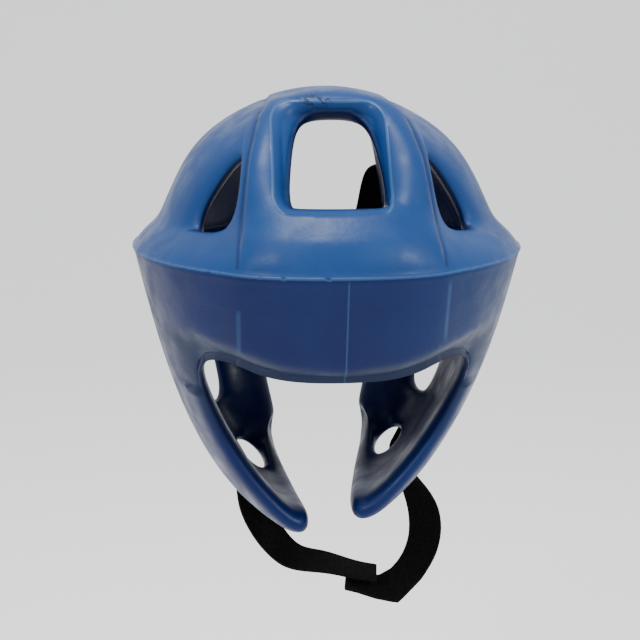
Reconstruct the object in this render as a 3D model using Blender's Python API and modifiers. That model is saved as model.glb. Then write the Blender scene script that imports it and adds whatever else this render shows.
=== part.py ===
"""Taekwondo head guard: one dipped foam shell, open at the face and the back, with black webbing straps.

Metres, +Z up, the face towards -Y. The origin is the head's seat, the inner top of the crown.
Heights are first counted from the ridge round the brow, and the whole guard is then hung below the seat.
"""

import math
from collections import namedtuple

import bmesh
import bpy
from mathutils import Vector
from mathutils.bvhtree import BVHTree

# Driving sizes of the shell's outside
HALF_WIDTH = 0.1122
FRONT_REACH = 0.1235
BACK_REACH = 0.1115
CROWN_RISE = 0.0860
BROW_DROP = 0.0500
BROW_BEVEL = 0.0145
CHEEK_DROP = 0.1400
FOAM = 0.0140
ARCH_RAISE = 0.0030
LEFT_CHEEK_SAG = 0.0070
RIGHT_CHEEK_LEAN = 0.0040

# Openings, as half widths from the middle plane
WINDOW_HALF = 0.0300
ARCH_HALF = 0.0470
SLOT_INNER = 0.0520
SLOT_OUTER = 0.0780
WINDOW_TAPER = 0.0100
BACK_GAP_HALF = 0.0365

# Straps
WEBBING_WIDTH = 0.0200
WEBBING = 0.0020
STRAP_SPAN = 0.0600
STRAP_REACH = 0.0340
STRAP_HANG = 0.0650
ELASTIC_WIDTH = 0.0320
ELASTIC_TOP = -0.0060
ELASTIC_HALF = 0.0800
TAB_TOP = 0.0380
TAB_HEIGHT = 0.0800
TAB_INNER = 0.0260
TAB_OUTER = 0.0740
ON_TAB = 0.0180
GAP = 0.0003
SLACK = 0.0009

# Shape of the cross-sections: 2 is an ellipse, more is squarer
ROUNDNESS = 2.15
SMOOTHING = 2
RIDGE_CREASE = 1.0
ROLL_CREASE = 0.45
OPENING_CREASE = 0.80
BEVEL_CREASE = 0.60
RIM_CREASE = 0.35

# Least part of a seat's normal that points back
FLATTEST = 0.3

FOAM_BLUE = (0.012, 0.085, 0.300, 1.0)
WEBBING_BLACK = (0.006, 0.006, 0.006, 1.0)

# Rings from the crown's edge down to the brow's lower edge. Heights are shares of CROWN_RISE above the ridge
# and of BROW_DROP below it; widths and reaches are shares of the half width, front reach and back reach;
# the last five are shares of the openings' half widths above. The side height is reached at the side column.
Ring = namedtuple(
    "Ring",
    "front_height side_height side_column half_width front back window arch slot_inner slot_outer rear",
)
RINGS = (
    Ring(0.935, 0.895, 3, 0.410, 0.400, 0.480, 0.80, 0.76, 0.780, 0.600, 0.80),
    Ring(0.620, 0.650, 3, 0.715, 0.690, 0.800, 1.02, 0.92, 0.900, 0.680, 1.05),
    Ring(0.360, 0.190, 3, 0.850, 0.805, 0.915, 1.10, 0.97, 0.950, 1.020, 1.26),
    Ring(0.140, 0.095, 3, 0.950, 0.952, 0.985, 1.05, 0.99, 1.000, 1.020, 1.26),
    Ring(0.000, 0.030, 6, 0.995, 1.000, 1.000, 0.98, 1.00, 1.010, 1.020, 1.26),
    Ring(-1.000, -0.800, 4, 0.905, 0.895, 0.910, 0.85, 0.92, 0.960, 0.980, 1.15),
)
ROLL_RING = 2
RIDGE_RING = 4
BROW_RING = 5

# Cheek guard sections below the brow, one row a section: the front rim, the side and the rear edge.
# Widths are shares of HALF_WIDTH, reaches of FRONT_REACH (rim, side) or BACK_REACH (rear), drops of CHEEK_DROP.
Section = namedtuple(
    "Section",
    "rim_width rim_reach rim_drop side_width side_reach side_drop rear_width rear_reach rear_drop",
)
SECTIONS = (
    Section(0.620, 0.530, 0.540, 0.780, -0.190, 0.570, 0.333, 0.735, 0.560),
    Section(0.480, 0.565, 0.740, 0.700, -0.160, 0.735, 0.300, 0.620, 0.690),
    Section(0.310, 0.610, 0.890, 0.555, -0.060, 0.920, 0.265, 0.540, 0.780),
    Section(0.175, 0.640, 0.985, 0.300, 0.050, 1.020, 0.250, 0.490, 0.830),
    Section(0.080, 0.590, 0.960, 0.150, 0.080, 0.985, 0.270, 0.440, 0.850),
)

COLUMNS = 9
# Where the columns from the rim to the rear edge stand, as shares of the way
SIDE_SHARES = (0.0, 0.26, 0.59, 0.76, 1.0)
ARCH_COLUMN = 2
RIM_COLUMN = 4
SIDE_COLUMN = 6
REAR_COLUMN = 8
LAST_RING = BROW_RING + len(SECTIONS)
# Cage cells left out, as row and column: front window, side slot, ear opening, jaw hole
OPEN_CELLS = {(0, 0), (1, 0), (1, 3), (5, 6), (6, 6), (8, 6)}
SHARP_EDGES = {(0, 0), (1, 0), (1, 3)}
WINDOW_BOTTOM = 2

# Sections of the two chin straps where they hang free, as shares of STRAP_SPAN, STRAP_REACH and STRAP_HANG:
# across from the middle, back from the origin's plane, and below the cheeks. Turn and lean set the way that the
# webbing's near edge points, in degrees: turn from sideways to down, lean from sideways to the front.
Hang = namedtuple("Hang", "across back below turn lean")
LEFT_HANG = (
    Hang(-0.730, 0.150, 0.210, 13, 40),
    Hang(-0.582, -0.180, 0.410, 21, 38),
    Hang(-0.478, -0.370, 0.514, 20, 48),
    Hang(-0.358, -0.530, 0.598, 26, 55),
    Hang(-0.220, -0.585, 0.628, 36, 66),
    Hang(-0.072, -0.606, 0.640, 40, 73),
    Hang(0.083, -0.600, 0.677, 40, 80),
    Hang(0.233, -0.600, 0.725, 30, 83),
    Hang(0.370, -0.600, 0.755, 10, 83),
    Hang(0.480, -0.600, 0.770, 0, 83),
)
RIGHT_HANG = (
    Hang(0.975, 0.120, 0.200, -18, 34),
    Hang(1.000, -0.105, 0.435, -12, 27),
    Hang(0.967, -0.276, 0.548, -10, 28),
    Hang(0.905, -0.438, 0.657, -3, 31),
    Hang(0.797, -0.560, 0.768, 17, 50),
    Hang(0.640, -0.800, 0.850, 80, 40),
    Hang(0.480, -0.700, 0.880, 135, 72),
    Hang(0.298, -0.680, 0.840, 150, 80),
    Hang(0.172, -0.680, 0.812, 160, 82),
)
# The straps' seats on the cheeks, as shares of HALF_WIDTH, BACK_REACH and CHEEK_DROP, lifted by shares of FOAM
Seat = namedtuple("Seat", "across back below lift")
STRAP_SEATS = (
    Seat(0.580, 0.330, 0.700, 0.03),
    Seat(0.550, 0.300, 0.770, 0.03),
    Seat(0.520, 0.270, 0.840, 0.05),
    Seat(0.475, 0.215, 0.900, 0.08),
    Seat(0.430, 0.150, 0.955, 0.12),
)
CHEEK_MIDDLE = 0.55
ACROSS_WEBBING = (-0.5, 0.0, 0.5)
# The tab's sections as shares of TAB_HEIGHT, with how far its inner edge is cut back as a share of its width
TabSection = namedtuple("TabSection", "height inset")
TAB_SECTIONS = (
    TabSection(1.000, 0.25),
    TabSection(0.970, 0.14),
    TabSection(0.900, 0.09),
    TabSection(0.800, 0.06),
    TabSection(0.700, 0.04),
    TabSection(0.600, 0.02),
    TabSection(0.550, 0.01),
    TabSection(0.525, 0.01),
    TabSection(0.500, 0.00),
    TabSection(0.420, 0.00),
    TabSection(0.200, 0.00),
    TabSection(0.000, 0.00),
)
TAB_STEPS = 8
ELASTIC_STEPS = 24

SEAT_HEIGHT = CROWN_RISE - FOAM


def clear_scene():
    for old in list(bpy.data.objects):
        bpy.data.objects.remove(old, do_unlink=True)


def finish(name, colour, roughness):
    material = bpy.data.materials.new(name)
    material.use_nodes = True
    shader = material.node_tree.nodes["Principled BSDF"]
    shader.inputs["Base Color"].default_value = colour
    shader.inputs["Roughness"].default_value = roughness
    return material


def height_of(share):
    return share * (CROWN_RISE if share > 0 else BROW_DROP)


def on_ring(half_width, front, back, angle):
    """A point of a ring in plan, from 0 at the front over 90 at the side to 180 at the back."""
    power = 2 / ROUNDNESS
    turn = math.radians(angle)
    reach = -front if angle < 90 else back
    return half_width * math.sin(turn) ** power, reach * abs(math.cos(turn)) ** power


def angle_at(offset, half_width):
    return math.degrees(math.asin(min(1.0, offset / half_width) ** (ROUNDNESS / 2)))


def ring_points(ring):
    """The ring's nine cage points on the right side, from the middle plane to the open back."""
    half_width = ring.half_width * HALF_WIDTH
    front = ring.front * FRONT_REACH
    back = ring.back * BACK_REACH
    raised = ARCH_RAISE * min(1.0, ring.side_height / RINGS[RIDGE_RING - 1].side_height)
    offsets = (
        0.0,
        ring.window * WINDOW_HALF,
        ring.arch * ARCH_HALF,
        ring.slot_inner * SLOT_INNER,
        ring.slot_outer * SLOT_OUTER,
    )
    angles = [angle_at(offset, half_width) for offset in offsets]
    rear = 180 - angle_at(ring.rear * BACK_GAP_HALF, half_width)
    angles += [angles[-1] + (rear - angles[-1]) * share for share in SIDE_SHARES[1:]]
    points = []
    for column, angle in enumerate(angles):
        step = max(0.0, raised) if column <= ARCH_COLUMN else 0.0
        across, reach = on_ring(half_width + step, front + step, back + step, angle)
        to_side = max(0.0, min(1.0, (column - 1) / (ring.side_column - 1)))
        share = ring.front_height + (ring.side_height - ring.front_height) * to_side
        points.append(Vector((across, reach, height_of(share))))
    return points


def section_points(section):
    """Five cage points of a cheek section: a smooth curve through its rim, side and rear edge."""
    rim = Vector((section.rim_width * HALF_WIDTH, -section.rim_reach * FRONT_REACH, -section.rim_drop * CHEEK_DROP))
    side = Vector(
        (section.side_width * HALF_WIDTH, -section.side_reach * FRONT_REACH, -section.side_drop * CHEEK_DROP)
    )
    rear = Vector(
        (section.rear_width * HALF_WIDTH, section.rear_reach * BACK_REACH, -section.rear_drop * CHEEK_DROP)
    )
    return [
        rim * (2 * t - 1) * (t - 1) + side * 4 * t * (1 - t) + rear * t * (2 * t - 1) for t in SIDE_SHARES
    ]


def settled(point, side):
    """A point of the right side put on either side, where the left cheek hangs lower and the right leans in."""
    below = max(0.0, (-point.z - BROW_DROP) / (CHEEK_DROP - BROW_DROP))
    sag = LEFT_CHEEK_SAG * below if side < 0 else 0.0
    lean = RIGHT_CHEEK_LEAN * below if side > 0 else 0.0
    return Vector((side * (point.x - lean), point.y, point.z - sag - SEAT_HEIGHT))


def outer_skin(open_cells):
    """The shell's outer skin as a coarse open cage without the open cells, its sharp edges and window's corners."""
    mesh = bmesh.new()
    seat = Vector((0, 0, -SEAT_HEIGHT))
    rows = [ring_points(ring) for ring in RINGS]
    rows += [[None] * RIM_COLUMN + section_points(section) for section in SECTIONS]
    middle = {row: mesh.verts.new(points[0] + seat) for row, points in enumerate(rows) if points[0]}
    top = rows[0]
    bar_back = RINGS[0].back * BACK_REACH
    bar_front = RINGS[0].front * FRONT_REACH
    spine = {}
    for column in range(2, COLUMNS - 1):
        reach = top[column].y
        share = 1 - (reach / (bar_back if reach > 0 else bar_front)) ** 2
        rise = top[0].z + (CROWN_RISE + ARCH_RAISE - top[0].z) * share
        spine[column] = mesh.verts.new(Vector((0, reach, rise)) + seat)
    bar_end = mesh.verts.new(Vector((0, bar_back, top[0].z)) + seat)
    creased = {}
    tapered = {}
    for side in (-1, 1):
        grid = {}
        for row, points in enumerate(rows):
            for column, point in enumerate(points):
                if point is None:
                    continue
                if column == 0:
                    grid[row, column] = middle[row]
                    continue
                grid[row, column] = mesh.verts.new(settled(point, side))
        for row in range(LAST_RING):
            for column in range(COLUMNS - 1):
                corners = [(row, column), (row, column + 1), (row + 1, column + 1), (row + 1, column)]
                if (row, column) in open_cells or not all(corner in grid for corner in corners):
                    continue
                mesh.faces.new([grid[corner] for corner in corners])
        crown = [grid[0, column] for column in range(COLUMNS)]
        mesh.faces.new((crown[0], crown[1], crown[2], spine[2]))
        for column in range(2, COLUMNS - 2):
            mesh.faces.new((spine[column], crown[column], crown[column + 1], spine[column + 1]))
        mesh.faces.new((spine[COLUMNS - 2], crown[COLUMNS - 2], crown[COLUMNS - 1], bar_end))
        for column in range(COLUMNS - 1):
            creased[grid[RIDGE_RING, column], grid[RIDGE_RING, column + 1]] = RIDGE_CREASE
            creased[grid[ROLL_RING, column], grid[ROLL_RING, column + 1]] = ROLL_CREASE
        for row, column in SHARP_EDGES:
            for ends in ((0, 0, 0, 1), (0, 1, 1, 1), (1, 1, 1, 0), (1, 0, 0, 0)):
                first = grid[row + ends[0], column + ends[1]]
                second = grid[row + ends[2], column + ends[3]]
                creased[first, second] = OPENING_CREASE
        for row in range(BROW_RING, LAST_RING):
            creased[grid[row, RIM_COLUMN], grid[row + 1, RIM_COLUMN]] = RIM_CREASE
        for column in range(RIM_COLUMN):
            creased[grid[BROW_RING, column], grid[BROW_RING, column + 1]] = BEVEL_CREASE
        for column in range(RIM_COLUMN + 1):
            tapered[grid[BROW_RING, column]] = Vector((0, 0, -BROW_BEVEL))
        for row in range(WINDOW_BOTTOM + 1):
            tapered[grid[row, 1]] = Vector((-side * WINDOW_TAPER, 0, 0))
    mesh.normal_update()
    for face in mesh.faces:
        if face.normal.dot(face.calc_center_median() - seat) < 0:
            face.normal_flip()
    mesh.normal_update()
    return mesh, creased, tapered


def shell_cage(open_cells):
    """The outer skin, a second skin one foam thickness inside it, and a rim between them at each open edge."""
    mesh, creased, tapered = outer_skin(open_cells)
    skin = list(mesh.faces)
    rims = [edge for edge in mesh.edges if edge.is_boundary]
    inner = {}
    for vertex in list(mesh.verts):
        depth = vertex.normal * vertex.calc_shell_factor() * FOAM
        inner[vertex] = mesh.verts.new(vertex.co - depth + tapered.get(vertex, Vector()))
    for edge in rims:
        loop = edge.link_loops[0]
        first, second = loop.vert, loop.link_loop_next.vert
        mesh.faces.new((second, first, inner[first], inner[second]))
    for face in skin:
        mesh.faces.new([inner[vertex] for vertex in reversed(face.verts)])
    crease = mesh.edges.layers.float.new("crease_edge")
    for (first, second), sharpness in creased.items():
        edge = mesh.edges.get((first, second))
        if edge and (edge in rims or sharpness != OPENING_CREASE):
            edge[crease] = sharpness
        if edge in rims and sharpness == OPENING_CREASE:
            mesh.edges.get((inner[first], inner[second]))[crease] = sharpness
    return mesh


def add_object(name, mesh, material, collection):
    data = bpy.data.meshes.new(name)
    mesh.to_mesh(data)
    mesh.free()
    data.materials.append(material)
    data.shade_smooth()
    piece = bpy.data.objects.new(name, data)
    collection.objects.link(piece)
    return piece


def foam_shell(name, open_cells, collection, material):
    piece = add_object(name, shell_cage(open_cells), material, collection)
    soft = piece.modifiers.new("soft_form", "SUBSURF")
    soft.levels = SMOOTHING
    soft.render_levels = SMOOTHING
    return piece


def seating_surface(collection, material):
    """The shell's surface with only its window and back open, to seat webbing on, also over a hole."""
    form = foam_shell("seating_form", SHARP_EDGES, collection, material)
    graph = bpy.context.evaluated_depsgraph_get()
    graph.update()
    surface = BVHTree.FromObject(form, graph)
    bpy.data.objects.remove(form, do_unlink=True)
    return surface


def seated(surface, guess, lift):
    """The point over the surface's outside, on the line from far outside the guess to the hollow's lower middle."""
    inward = (Vector((0, 0, -CHEEK_MIDDLE * CHEEK_DROP - SEAT_HEIGHT)) - guess).normalized()
    start = guess - inward * HALF_WIDTH
    hit, normal, _, _ = surface.ray_cast(start, inward)
    return None if hit is None else hit + normal * lift


def webbing(name, rows, thickness, collection, material):
    """A band through rows of points, thickened both ways from its middle."""
    mesh = bmesh.new()
    grid = [[mesh.verts.new(point) for point in row] for row in rows]
    for above, below in zip(grid, grid[1:]):
        for index in range(len(above) - 1):
            mesh.faces.new((above[index], above[index + 1], below[index + 1], below[index]))
    piece = add_object(name, mesh, material, collection)
    wall = piece.modifiers.new("band_thickness", "SOLIDIFY")
    wall.thickness = thickness
    wall.offset = 0
    wall.use_even_offset = True
    return piece


def hang_row(hang, side):
    centre = Vector(
        (
            hang.across * STRAP_SPAN,
            hang.back * STRAP_REACH,
            -CHEEK_DROP - hang.below * STRAP_HANG - SEAT_HEIGHT,
        )
    )
    turn = math.radians(hang.turn)
    lean = math.radians(hang.lean)
    edge = Vector((side * math.cos(turn) * math.cos(lean), -math.sin(lean), -math.sin(turn) * math.cos(lean)))
    return [centre + edge * WEBBING_WIDTH * share for share in ACROSS_WEBBING]


def chin_strap(name, hangs, side, surface, collection, material):
    """A strap from its seat on the outside of a cheek, turning to hang free under the chin."""
    rows = []
    for seat in STRAP_SEATS:
        centre = settled(
            Vector((seat.across * HALF_WIDTH, seat.back * BACK_REACH, -seat.below * CHEEK_DROP)), side
        )
        along = Vector((side * -seat.back, seat.across, 0)).normalized()
        guesses = [centre - along * WEBBING_WIDTH * share for share in ACROSS_WEBBING]
        lift = GAP + WEBBING / 2 + seat.lift * FOAM
        rows.append([seated(surface, guess, lift) for guess in guesses])
    rows += [hang_row(hang, side) for hang in hangs]
    return webbing(name, rows, WEBBING, collection, material)


def tab_rows(surface):
    """The patch on the right half: its inner edge leans outwards towards a rounded top corner."""
    rows = []
    for section in TAB_SECTIONS:
        level = TAB_TOP - TAB_HEIGHT * (1 - section.height) - SEAT_HEIGHT
        left = TAB_INNER + (TAB_OUTER - TAB_INNER) * section.inset
        offsets = [left + (TAB_OUTER - left) * step / TAB_STEPS for step in range(TAB_STEPS + 1)]
        rows.append([Vector((offset, 0, level)) for offset in offsets])
    return behind(surface, rows, SLACK + WEBBING / 2)


def behind(surface, rows, lift):
    """Each point moved to lie over the back of the shell, or over the open gap in line with its edges."""
    placed = []
    for row in rows:
        line = []
        for point in row:
            reach = max(BACK_GAP_HALF + FOAM / 2, abs(point.x))
            guess = Vector((math.copysign(reach, point.x or 1), BACK_REACH, point.z))
            start = Vector((guess.x, 2 * BACK_REACH, point.z))
            hit, normal, _, _ = surface.ray_cast(start, Vector((0, -1, 0)))
            line.append(Vector((point.x, hit.y + lift / max(FLATTEST, normal.y), point.z)))
        placed.append(line)
    return placed


def rear_strap(surface, collection, material):
    """The elastic across the open back, from the left half to a seat over the tab on the right half."""
    length = ELASTIC_HALF + TAB_OUTER
    offsets = [length * step / ELASTIC_STEPS - ELASTIC_HALF for step in range(ELASTIC_STEPS + 1)]
    rows = []
    for share in ACROSS_WEBBING:
        level = ELASTIC_TOP - ELASTIC_WIDTH * (share + 0.5) - SEAT_HEIGHT
        rows.append([Vector((offset, 0, level)) for offset in offsets])
    placed = behind(surface, rows, SLACK + WEBBING / 2)
    over_tab = behind(surface, rows, SLACK + WEBBING * 3 / 2 + SLACK)
    joined = []
    for row, raised in zip(placed, over_tab):
        shares = [max(0.0, min(1.0, point.x / ON_TAB)) for point in row]
        joined.append([point.lerp(high, share) for point, high, share in zip(row, raised, shares)])
    return webbing("rear_strap", joined, WEBBING, collection, material)


def build():
    clear_scene()
    parts = bpy.data.collections.new("taekwondo_head_guard")
    bpy.context.scene.collection.children.link(parts)
    foam = finish("dipped_foam", FOAM_BLUE, 0.45)
    black = finish("black_webbing", WEBBING_BLACK, 0.85)
    foam_shell("foam_shell", OPEN_CELLS, parts, foam)
    surface = seating_surface(parts, foam)
    chin_strap("chin_strap_left", LEFT_HANG, -1, surface, parts, black)
    chin_strap("chin_strap_right", RIGHT_HANG, 1, surface, parts, black)
    webbing("rear_tab", tab_rows(surface), WEBBING, parts, black)
    rear_strap(surface, parts, black)


build()
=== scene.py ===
import math

import bmesh
import bpy
import numpy as np
from mathutils import Matrix, Vector
from mathutils.kdtree import KDTree


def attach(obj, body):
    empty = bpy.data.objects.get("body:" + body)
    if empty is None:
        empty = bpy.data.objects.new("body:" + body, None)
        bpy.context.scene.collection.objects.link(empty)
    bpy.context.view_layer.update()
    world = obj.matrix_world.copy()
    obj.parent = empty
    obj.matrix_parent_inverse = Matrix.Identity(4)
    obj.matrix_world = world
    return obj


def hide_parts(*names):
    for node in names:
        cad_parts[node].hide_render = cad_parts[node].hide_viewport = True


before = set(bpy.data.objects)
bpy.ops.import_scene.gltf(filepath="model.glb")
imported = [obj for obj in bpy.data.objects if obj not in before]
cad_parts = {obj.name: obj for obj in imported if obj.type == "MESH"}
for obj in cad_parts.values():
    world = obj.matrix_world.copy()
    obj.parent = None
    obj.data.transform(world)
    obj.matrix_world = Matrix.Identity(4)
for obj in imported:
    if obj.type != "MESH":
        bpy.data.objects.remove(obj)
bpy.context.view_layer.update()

scene = bpy.context.scene
RIDGE_Z = -0.072

# Camera
# It stands a little above the brow at about 0.6 m from the head, turned 4 degrees to the guard's right half,
# with a short telephoto lens, as the photo was taken.
camera_data = bpy.data.cameras.new("camera")
camera_data.lens = 60.75
camera_data.sensor_width = 36
camera = bpy.data.objects.new("camera", camera_data)
scene.collection.objects.link(camera)
stand = Matrix.Translation(Vector((-0.0026, -0.600, 0.082)))
tilt = Matrix.Rotation(math.radians(90 - 11.9), 4, "X")
aside_turn = Matrix.Rotation(math.radians(-4), 4, "Z")
camera.matrix_world = Matrix.Translation(Vector((0, 0, RIDGE_Z))) @ aside_turn @ stand @ tilt
scene.camera = camera

# Floor, backdrop and lights
# A pale sweep of paper: a floor well below the straps, since a head holds the guard up, that curves up behind.
# Soft lamps hang over the front on both sides and a pale world fills in from all round.
bpy.ops.mesh.primitive_plane_add(size=8, location=(0, 0, -0.62))
floor = bpy.context.object
floor.name = "paper_sweep"
bpy.ops.object.mode_set(mode="EDIT")
bpy.ops.mesh.select_all(action="DESELECT")
bpy.ops.object.mode_set(mode="OBJECT")
for edge in floor.data.edges:
    ends = [floor.data.vertices[i].co.y for i in edge.vertices]
    edge.select = min(ends) > 3.9
bpy.ops.object.mode_set(mode="EDIT")
bpy.ops.mesh.extrude_region_move(TRANSFORM_OT_translate={"value": (0, 0, 6)})
bpy.ops.object.mode_set(mode="OBJECT")
bend = floor.modifiers.new("curve", "BEVEL")
bend.width = 2.0
bend.segments = 24
bpy.ops.object.modifier_apply(modifier="curve")
floor.data.shade_smooth()
paper = bpy.data.materials.new("pale_paper")
paper.use_nodes = True
paper_shader = paper.node_tree.nodes["Principled BSDF"]
paper_shader.inputs["Base Color"].default_value = (0.93, 0.93, 0.925, 1)
paper_shader.inputs["Roughness"].default_value = 0.95
floor.data.materials.append(paper)

world = bpy.data.worlds.new("pale_room")
scene.world = world
world.use_nodes = True
world.node_tree.nodes["Background"].inputs["Color"].default_value = (0.95, 0.96, 1.0, 1)
world.node_tree.nodes["Background"].inputs["Strength"].default_value = 1.30
for name, place, size, power in (
    ("lamp_over", (-0.10, -0.25, 1.30), 0.60, 26),
    ("lamp_left", (-0.80, -1.10, 1.00), 0.16, 7),
    ("lamp_right", (0.95, -1.00, 0.90), 0.20, 10),
):
    lamp_data = bpy.data.lights.new(name, "AREA")
    lamp_data.size = size
    lamp_data.energy = power
    lamp = bpy.data.objects.new(name, lamp_data)
    scene.collection.objects.link(lamp)
    lamp.location = place
    aim = Vector((0, 0, -0.08)) - Vector(place)
    lamp.rotation_euler = aim.to_track_quat("-Z", "Y").to_euler()

# Foam shell
# One moulding of closed-cell foam, dipped so that a smooth vinyl skin covers it inside and out. The top half is
# raised over a ridge where the two mould halves met, and an arch stands proud round the window.
shell = bpy.data.objects.new("dipped_foam_shell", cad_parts["foam_shell"].data.copy())
scene.collection.objects.link(shell)
bpy.ops.object.select_all(action="DESELECT")
shell.select_set(True)
bpy.context.view_layer.objects.active = shell
bpy.ops.mesh.customdata_custom_splitnormals_clear()
bpy.ops.object.mode_set(mode="EDIT")
bpy.ops.mesh.select_all(action="SELECT")
bpy.ops.mesh.remove_doubles(threshold=0.00002)
bpy.ops.mesh.tris_convert_to_quads(face_threshold=math.radians(70), shape_threshold=math.radians(70))
bpy.ops.mesh.normals_make_consistent(inside=False)
bpy.ops.object.mode_set(mode="OBJECT")
cage = bmesh.new()
cage.from_mesh(shell.data)
crease = cage.edges.layers.float.get("crease_edge") or cage.edges.layers.float.new("crease_edge")
ridge_points = []
for edge in cage.edges:
    middle = (edge.verts[0].co + edge.verts[1].co) / 2
    outward = edge.verts[0].normal.x * middle.x + edge.verts[0].normal.y * middle.y > 0
    if abs(middle.z - RIDGE_Z) < 0.007 and outward and edge.calc_face_angle(0) > math.radians(24):
        if abs((edge.verts[0].co - edge.verts[1].co).normalized().z) < 0.5:
            edge[crease] = 1
            ridge_points += [edge.verts[0].co.lerp(edge.verts[1].co, step / 8) for step in range(8)]
cage.to_mesh(shell.data)
cage.free()
soft = shell.modifiers.new("soft", "SUBSURF")
soft.levels = 2
soft.render_levels = 2
bpy.ops.object.modifier_apply(modifier="soft")
shell.data.shade_smooth()

count = len(shell.data.vertices)
place = np.zeros(count * 3)
shell.data.vertices.foreach_get("co", place)
place = place.reshape(-1, 3)
facing = np.zeros(count * 3)
shell.data.vertices.foreach_get("normal", facing)
facing = facing.reshape(-1, 3)
height = place[:, 2] - RIDGE_Z
aside = np.abs(place[:, 0])
radial = np.stack([place[:, 0], place[:, 1], np.maximum(height, 0)], 1)
radial /= np.linalg.norm(radial, axis=1)[:, None] + 1e-9
outer = np.clip((radial * facing).sum(1) * 3 - 0.6, 0, 1)

# Distances to the lines that the mould left, for the skin's grooves and beads
to_ridge = KDTree(len(ridge_points))
for index, point in enumerate(ridge_points):
    to_ridge.insert(point, index)
to_ridge.balance()
from_ridge = np.full(count, 0.05)
near = np.where(np.abs(height) < 0.016)[0]
for index in near:
    found, _, gap = to_ridge.find(place[index])
    from_ridge[index] = math.copysign(gap, place[index, 2] - found.z)
from_ridge = np.where(outer > 0.3, from_ridge, 0.05)
ARCH = ((0, 47.5), (13, 46.7), (25, 45.2), (41, 43.3), (52, 41.9), (61, 39.5), (71, 36.5), (77, 32), (90, 30))
edge_of_arch = np.interp(height * 1000, [row[0] for row in ARCH], [row[1] for row in ARCH]) / 1000
from_arch = aside - edge_of_arch
on_arch = (outer > 0.3) & (height > 0.003) & ((place[:, 1] < -0.02) | (height > 0.065))
from_arch = np.where(on_arch, from_arch, 0.05)
lift = 0.0012 / (1 + np.exp(from_arch / 0.0009)) - 0.0010 * np.exp(-((from_arch - 0.0006) / 0.0013) ** 2)
lift = np.where(on_arch, lift, 0) * np.clip((height - 0.003) / 0.012, 0, 1)
bead = 0.0006 * np.exp(-(from_ridge / 0.0007) ** 2)
# The window's reveal is a flat slope inside a crisp outline, and the brow ends in a flat bevel
beside = np.abs(place[:, 0] + 0.0025) - 0.0185
above = np.abs(height - 0.0510) - 0.0160
rounded = np.hypot(np.maximum(beside, 0), np.maximum(above, 0)) + np.minimum(np.maximum(beside, above), 0)
round_window = (outer > 0.3) & (height > 0.026) & (place[:, 1] < -0.02)
from_window = np.where(round_window, rounded - 0.0100, 0.05)
reveal = np.where(round_window, -0.40 * np.clip(-from_window, 0, 0.006), 0)
bevel_top = np.interp(aside, (0.002, 0.028, 0.051, 0.071), (-0.0460, -0.0430, -0.0365, -0.0310))
under = np.clip(bevel_top - height, 0, 0.009)
facing_out = (outer > 0.3) & (place[:, 1] < -0.03) & (height > -0.066)
chamfer = np.where(facing_out, -0.40 * under, 0) * np.clip((0.080 - aside) / 0.010, 0, 1)
place += facing * (lift + bead + reveal + chamfer)[:, None]
shell.data.vertices.foreach_set("co", place.ravel())
bevel = np.clip((bevel_top - height) / 0.0030, 0, 1) * (1 - np.clip((-height - 0.066) / 0.035, 0, 1))
bevel = np.where(outer > 0.2, bevel, 0) * np.clip((-0.035 - place[:, 1]) / 0.035, 0, 1)
for name, values in (("from_ridge", from_ridge), ("from_arch", from_arch), ("outer", outer), ("bevel", bevel),
                     ("from_window", from_window)):
    layer = shell.data.attributes.new(name, "FLOAT", "POINT")
    layer.data.foreach_set("value", values.astype(np.float32))
shell.data.update()

# Skin
# Vinyl dip, satin and a little uneven, so that highlights break up. Painted highlights make it paler on the
# parting ridge, round the window and on the lines that the mould left down the brow. Painted shade makes it
# darker in the groove beside the arch, below the ridge and inside, and a painted reflection makes it greyer on
# the brow's bevel.
skin = bpy.data.materials.new("dipped_vinyl_skin")
skin.use_nodes = True
tree = skin.node_tree
shader = tree.nodes["Principled BSDF"]
coords = tree.nodes.new("ShaderNodeTexCoord")
where = tree.nodes.new("ShaderNodeSeparateXYZ")
tree.links.new(coords.outputs["Object"], where.inputs["Vector"])


def sum_of(nodes, operation, *terms):
    """One math node: each term is a socket to link or a plain value."""
    node = nodes.new("ShaderNodeMath")
    node.operation = operation
    for index, term in enumerate(terms):
        if isinstance(term, (int, float)):
            node.inputs[index].default_value = term
        else:
            nodes.id_data.links.new(term, node.inputs[index])
    return node.outputs[0]


def ramp_of(nodes, value, start, end, low=0.0, high=1.0):
    """A smooth step from low at start to high at end."""
    node = nodes.new("ShaderNodeMapRange")
    node.interpolation_type = "SMOOTHSTEP"
    nodes.id_data.links.new(value, node.inputs["Value"])
    node.inputs["From Min"].default_value = start
    node.inputs["From Max"].default_value = end
    node.inputs["To Min"].default_value = low
    node.inputs["To Max"].default_value = high
    return node.outputs["Result"]


mould = bpy.data.node_groups.new("mould_line", "ShaderNodeTree")
for label, kind in (("Across", "NodeSocketFloat"), ("Height", "NodeSocketFloat"), ("Place", "NodeSocketFloat")):
    mould.interface.new_socket(label, in_out="INPUT", socket_type=kind)
for label in ("Width", "Top", "Bottom"):
    mould.interface.new_socket(label, in_out="INPUT", socket_type="NodeSocketFloat")
mould.interface.new_socket("Line", in_out="OUTPUT", socket_type="NodeSocketFloat")
given = mould.nodes.new("NodeGroupInput").outputs
away = sum_of(mould.nodes, "ABSOLUTE", sum_of(mould.nodes, "SUBTRACT", given["Across"], given["Place"]))
bright = sum_of(mould.nodes, "SUBTRACT", 1.0, sum_of(mould.nodes, "DIVIDE", away, given["Width"]))
bright = ramp_of(mould.nodes, bright, 0.0, 1.0)
below_top = ramp_of(mould.nodes, sum_of(mould.nodes, "SUBTRACT", given["Top"], given["Height"]), 0.0, 0.004)
over_bottom = sum_of(mould.nodes, "SUBTRACT", given["Height"], given["Bottom"])
over_bottom = ramp_of(mould.nodes, over_bottom, 0.0, 0.006)
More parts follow.
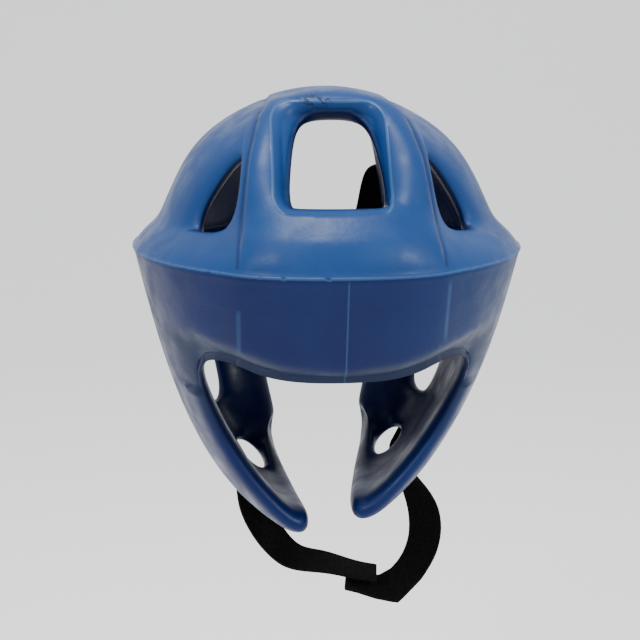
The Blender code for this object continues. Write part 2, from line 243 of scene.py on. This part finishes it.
result = sum_of(mould.nodes, "MULTIPLY", bright, sum_of(mould.nodes, "MULTIPLY", below_top, over_bottom))
mould.links.new(result, mould.nodes.new("NodeGroupOutput").inputs["Line"])

# Painted highlights: thin pale lines down the brow over the raised lines that the mould left
in_front = ramp_of(tree.nodes, where.outputs["Y"], -0.060, -0.070)
lines = []
for across, width, top, bottom, strength in (
    (0.0020, 0.0007, 0.0005, -0.070, 0.45),
    (0.0500, 0.0016, -0.002, -0.036, 0.38),
    (-0.0480, 0.0018, -0.015, -0.042, 0.30),
):
    line = tree.nodes.new("ShaderNodeGroup")
    line.node_tree = mould
    tree.links.new(where.outputs["X"], line.inputs["Across"])
    tree.links.new(where.outputs["Z"], line.inputs["Height"])
    line.inputs["Place"].default_value = across
    line.inputs["Width"].default_value = width
    line.inputs["Top"].default_value = RIDGE_Z + top
    line.inputs["Bottom"].default_value = RIDGE_Z + bottom
    shown = sum_of(tree.nodes, "MULTIPLY", line.outputs["Line"], strength)
    lines.append(sum_of(tree.nodes, "MULTIPLY", shown, in_front))
mould_lines = sum_of(tree.nodes, "MAXIMUM", lines[0], sum_of(tree.nodes, "MAXIMUM", lines[1], lines[2]))


def attribute(name):
    node = tree.nodes.new("ShaderNodeAttribute")
    node.attribute_name = name
    return node.outputs["Fac"]


# Painted highlights: thin pale lines along the parting ridge and the window's outline, where they catch the
# lamps
ridge_gap = sum_of(tree.nodes, "ABSOLUTE", attribute("from_ridge"))
ridge_line = ramp_of(tree.nodes, ridge_gap, 0.0009, 0.0002)
arch_gap = sum_of(tree.nodes, "ABSOLUTE", sum_of(tree.nodes, "SUBTRACT", attribute("from_arch"), 0.0010))
arch_line = ramp_of(tree.nodes, arch_gap, 0.0012, 0.0002)
window_line = ramp_of(tree.nodes, sum_of(tree.nodes, "ABSOLUTE", attribute("from_window")), 0.0010, 0.0002)
ridge_window_highlight = sum_of(tree.nodes, "MAXIMUM", ridge_line, window_line)
pale_lines = sum_of(tree.nodes, "MAXIMUM", sum_of(tree.nodes, "MULTIPLY", ridge_window_highlight, 0.55), mould_lines)


def blended(under, over, share):
    node = tree.nodes.new("ShaderNodeMix")
    node.data_type = "RGBA"
    for label, colour in (("A", under), ("B", over)):
        socket = [entry for entry in node.inputs if entry.name == label and entry.type == "RGBA"][0]
        if isinstance(colour, tuple):
            socket.default_value = colour
        else:
            tree.links.new(colour, socket)
    tree.links.new(share, node.inputs[0])
    return [entry for entry in node.outputs if entry.type == "RGBA"][0]


mottle = tree.nodes.new("ShaderNodeTexNoise")
mottle.inputs["Scale"].default_value = 22
mottle.inputs["Detail"].default_value = 4
tree.links.new(coords.outputs["Object"], mottle.inputs["Vector"])
uneven = ramp_of(tree.nodes, mottle.outputs["Fac"], 0.35, 0.65)
# Painted shade: the band below the ridge gets a darker blue than the top, which faces the lamps
top_blue = blended((0.0030, 0.0290, 0.1150, 1), (0.0042, 0.0350, 0.1300, 1), uneven)
band_blue = blended((0.0004, 0.0068, 0.0560, 1), (0.0007, 0.0090, 0.0650, 1), uneven)
over_ridge = ramp_of(tree.nodes, where.outputs["Z"], RIDGE_Z - 0.001, RIDGE_Z + 0.002)
outer_share = attribute("outer")
# Painted light: the band is lighter towards the right, where more light falls on it
painted_light_right = ramp_of(tree.nodes, where.outputs["X"], 0.005, 0.090)
band_blue = blended(band_blue, (0.0016, 0.0190, 0.0830, 1), painted_light_right)
blue = blended(band_blue, top_blue, over_ridge)
# Painted shade: the inside of the shell gets a darker blue than the outside
blue = blended((0.0003, 0.0045, 0.0340, 1), blue, outer_share)
# Painted reflection: the brow's bevel is greyed as if it reflected the pale surroundings
blue = blended(blue, (0.0140, 0.0230, 0.0480, 1), sum_of(tree.nodes, "MULTIPLY", attribute("bevel"), 0.75))
# Painted shade: a darker blue along the groove beside the arch
blue = blended(blue, (0.0008, 0.0080, 0.0420, 1), sum_of(tree.nodes, "MULTIPLY", arch_line, 0.60))
# Painted highlight: a pale blue along the ridge, the window's outline and the mould lines
blue = blended(blue, (0.0300, 0.0900, 0.2100, 1), pale_lines)

# A scuff in the skin at the front edge of the crown bar
scuff_place = tree.nodes.new("ShaderNodeVectorMath")
scuff_place.operation = "DISTANCE"
scuff_place.inputs[1].default_value = (-0.008, -0.052, 0.0085)
tree.links.new(coords.outputs["Object"], scuff_place.inputs[0])
near_scuff = ramp_of(tree.nodes, scuff_place.outputs["Value"], 0.011, 0.004)
cracks = tree.nodes.new("ShaderNodeTexNoise")
cracks.inputs["Scale"].default_value = 130
cracks.inputs["Detail"].default_value = 4
tree.links.new(coords.outputs["Object"], cracks.inputs["Vector"])
from_middle = sum_of(tree.nodes, "ABSOLUTE", sum_of(tree.nodes, "SUBTRACT", cracks.outputs["Fac"], 0.5))
cracked = ramp_of(tree.nodes, from_middle, 0.035, 0.008)
scuff = sum_of(tree.nodes, "MULTIPLY", near_scuff, cracked)
blue = blended(blue, (0.0010, 0.0080, 0.0300, 1), scuff)
tree.links.new(blue, shader.inputs["Base Color"])

grain = tree.nodes.new("ShaderNodeTexNoise")
grain.inputs["Scale"].default_value = 620
grain.inputs["Detail"].default_value = 3
tree.links.new(coords.outputs["Object"], grain.inputs["Vector"])
waves = tree.nodes.new("ShaderNodeTexNoise")
waves.inputs["Scale"].default_value = 75
waves.inputs["Detail"].default_value = 4
tree.links.new(coords.outputs["Object"], waves.inputs["Vector"])
rough = ramp_of(tree.nodes, waves.outputs["Fac"], 0.3, 0.7, 0.30, 0.46)
tree.links.new(rough, shader.inputs["Roughness"])
shader.inputs["Specular IOR Level"].default_value = 0.16
height_map = sum_of(tree.nodes, "MULTIPLY", grain.outputs["Fac"], 0.00004)
wavy = sum_of(tree.nodes, "MULTIPLY", waves.outputs["Fac"], 0.00045)
height_map = sum_of(tree.nodes, "ADD", height_map, wavy)
height_map = sum_of(tree.nodes, "ADD", height_map, sum_of(tree.nodes, "MULTIPLY", pale_lines, 0.00040))
height_map = sum_of(tree.nodes, "SUBTRACT", height_map, sum_of(tree.nodes, "MULTIPLY", scuff, 0.0006))
relief = tree.nodes.new("ShaderNodeBump")
relief.inputs["Strength"].default_value = 0.8
relief.inputs["Distance"].default_value = 1.0
tree.links.new(height_map, relief.inputs["Height"])
tree.links.new(relief.outputs["Normal"], shader.inputs["Normal"])
shell.data.materials.clear()
shell.data.materials.append(skin)
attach(shell, "root")
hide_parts("foam_shell")

# Straps, elastic and tab
# Black polyester webbing 20 mm wide for the chin, its free ends faced with hook and loop tape; a 32 mm elastic
# across the open back; and the patch of loop fabric on the right half. All are woven, matt and nearly black.
def black_cloth(name, rib_scale, across_scale, fuzz):
    """A woven black: ribs both ways and lint in a fine noise."""
    cloth = bpy.data.materials.new(name)
    cloth.use_nodes = True
    nodes = cloth.node_tree.nodes
    links = cloth.node_tree.links
    surface = nodes["Principled BSDF"]
    spots = nodes.new("ShaderNodeTexCoord")
    ribs = []
    for direction, scale in (("X", rib_scale), ("DIAGONAL", across_scale)):
        rib = nodes.new("ShaderNodeTexWave")
        rib.bands_direction = direction
        rib.inputs["Scale"].default_value = scale
        rib.inputs["Distortion"].default_value = 0.4
        links.new(spots.outputs["Object"], rib.inputs["Vector"])
        ribs.append(rib.outputs["Fac"])
    lint = nodes.new("ShaderNodeTexNoise")
    lint.inputs["Scale"].default_value = 900
    lint.inputs["Detail"].default_value = 2
    links.new(spots.outputs["Object"], lint.inputs["Vector"])
    shade = nodes.new("ShaderNodeValToRGB")
    shade.color_ramp.elements[0].position = 0.35
    shade.color_ramp.elements[0].color = (0.0012, 0.0012, 0.0010, 1)
    shade.color_ramp.elements[1].position = 0.80
    shade.color_ramp.elements[1].color = (0.0060, 0.0058, 0.0050, 1)
    links.new(lint.outputs["Fac"], shade.inputs["Fac"])
    links.new(shade.outputs["Color"], surface.inputs["Base Color"])
    surface.inputs["Roughness"].default_value = 0.95
    surface.inputs["Specular IOR Level"].default_value = 0.08
    woven = sum_of(nodes, "MULTIPLY", sum_of(nodes, "ADD", ribs[0], ribs[1]), 0.00012)
    raised = sum_of(nodes, "ADD", woven, sum_of(nodes, "MULTIPLY", lint.outputs["Fac"], fuzz))
    bump = nodes.new("ShaderNodeBump")
    bump.inputs["Distance"].default_value = 1.0
    links.new(raised, bump.inputs["Height"])
    links.new(bump.outputs["Normal"], surface.inputs["Normal"])
    return cloth


WEBBING_WIDTH = 0.020
ELASTIC_WIDTH = 0.032
TAB_SIZE = (0.048, 0.080)
FOLD_HEIGHT = -0.258
webbing = black_cloth("black_polyester_webbing", 260, 190, 0.00020)
elastic = black_cloth("black_elastic", 60, 420, 0.00008)
loop_fabric = black_cloth("black_loop_fabric", 30, 30, 0.00050)
for name, node_name, cloth, flat, held, rests in (
    ("webbing_left", "chin_strap_left", webbing, (WEBBING_WIDTH, 0.161), "hung", ["dipped_foam_shell"]),
    ("webbing_right", "chin_strap_right", webbing, (WEBBING_WIDTH, 0.166), "hung", ["dipped_foam_shell"]),
    ("loop_patch", "rear_tab", loop_fabric, TAB_SIZE, "laid", ["dipped_foam_shell"]),
    ("rear_elastic", "rear_strap", elastic, (ELASTIC_WIDTH, 0.175), "stretched",
     ["dipped_foam_shell", "loop_patch"]),
):
    band = bpy.data.objects.new(name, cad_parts[node_name].data.copy())
    scene.collection.objects.link(band)
    bpy.ops.object.select_all(action="DESELECT")
    band.select_set(True)
    bpy.context.view_layer.objects.active = band
    bpy.ops.mesh.customdata_custom_splitnormals_clear()
    bpy.ops.object.mode_set(mode="EDIT")
    bpy.ops.mesh.select_all(action="SELECT")
    bpy.ops.mesh.remove_doubles(threshold=0.00002)
    bpy.ops.mesh.tris_convert_to_quads(face_threshold=math.radians(50), shape_threshold=math.radians(70))
    bpy.ops.mesh.normals_make_consistent(inside=False)
    bpy.ops.object.mode_set(mode="OBJECT")
    form = bmesh.new()
    form.from_mesh(band.data)
    sharp = form.edges.layers.float.get("crease_edge") or form.edges.layers.float.new("crease_edge")
    for edge in form.edges:
        if edge.calc_face_angle(0) > math.radians(62):
            edge[sharp] = 0.85
        if node_name == "chin_strap_right" and max(end.co.z for end in edge.verts) < FOLD_HEIGHT:
            edge[sharp] = 0.85
    form.to_mesh(band.data)
    form.free()
    supple = band.modifiers.new("supple", "SUBSURF")
    supple.levels = 2
    supple.render_levels = 2
    bpy.ops.object.modifier_apply(modifier="supple")
    bpy.ops.object.shade_smooth_by_angle(angle=math.radians(45))
    band.data.materials.clear()
    band.data.materials.append(cloth)
    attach(band, "root")
    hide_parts(node_name)
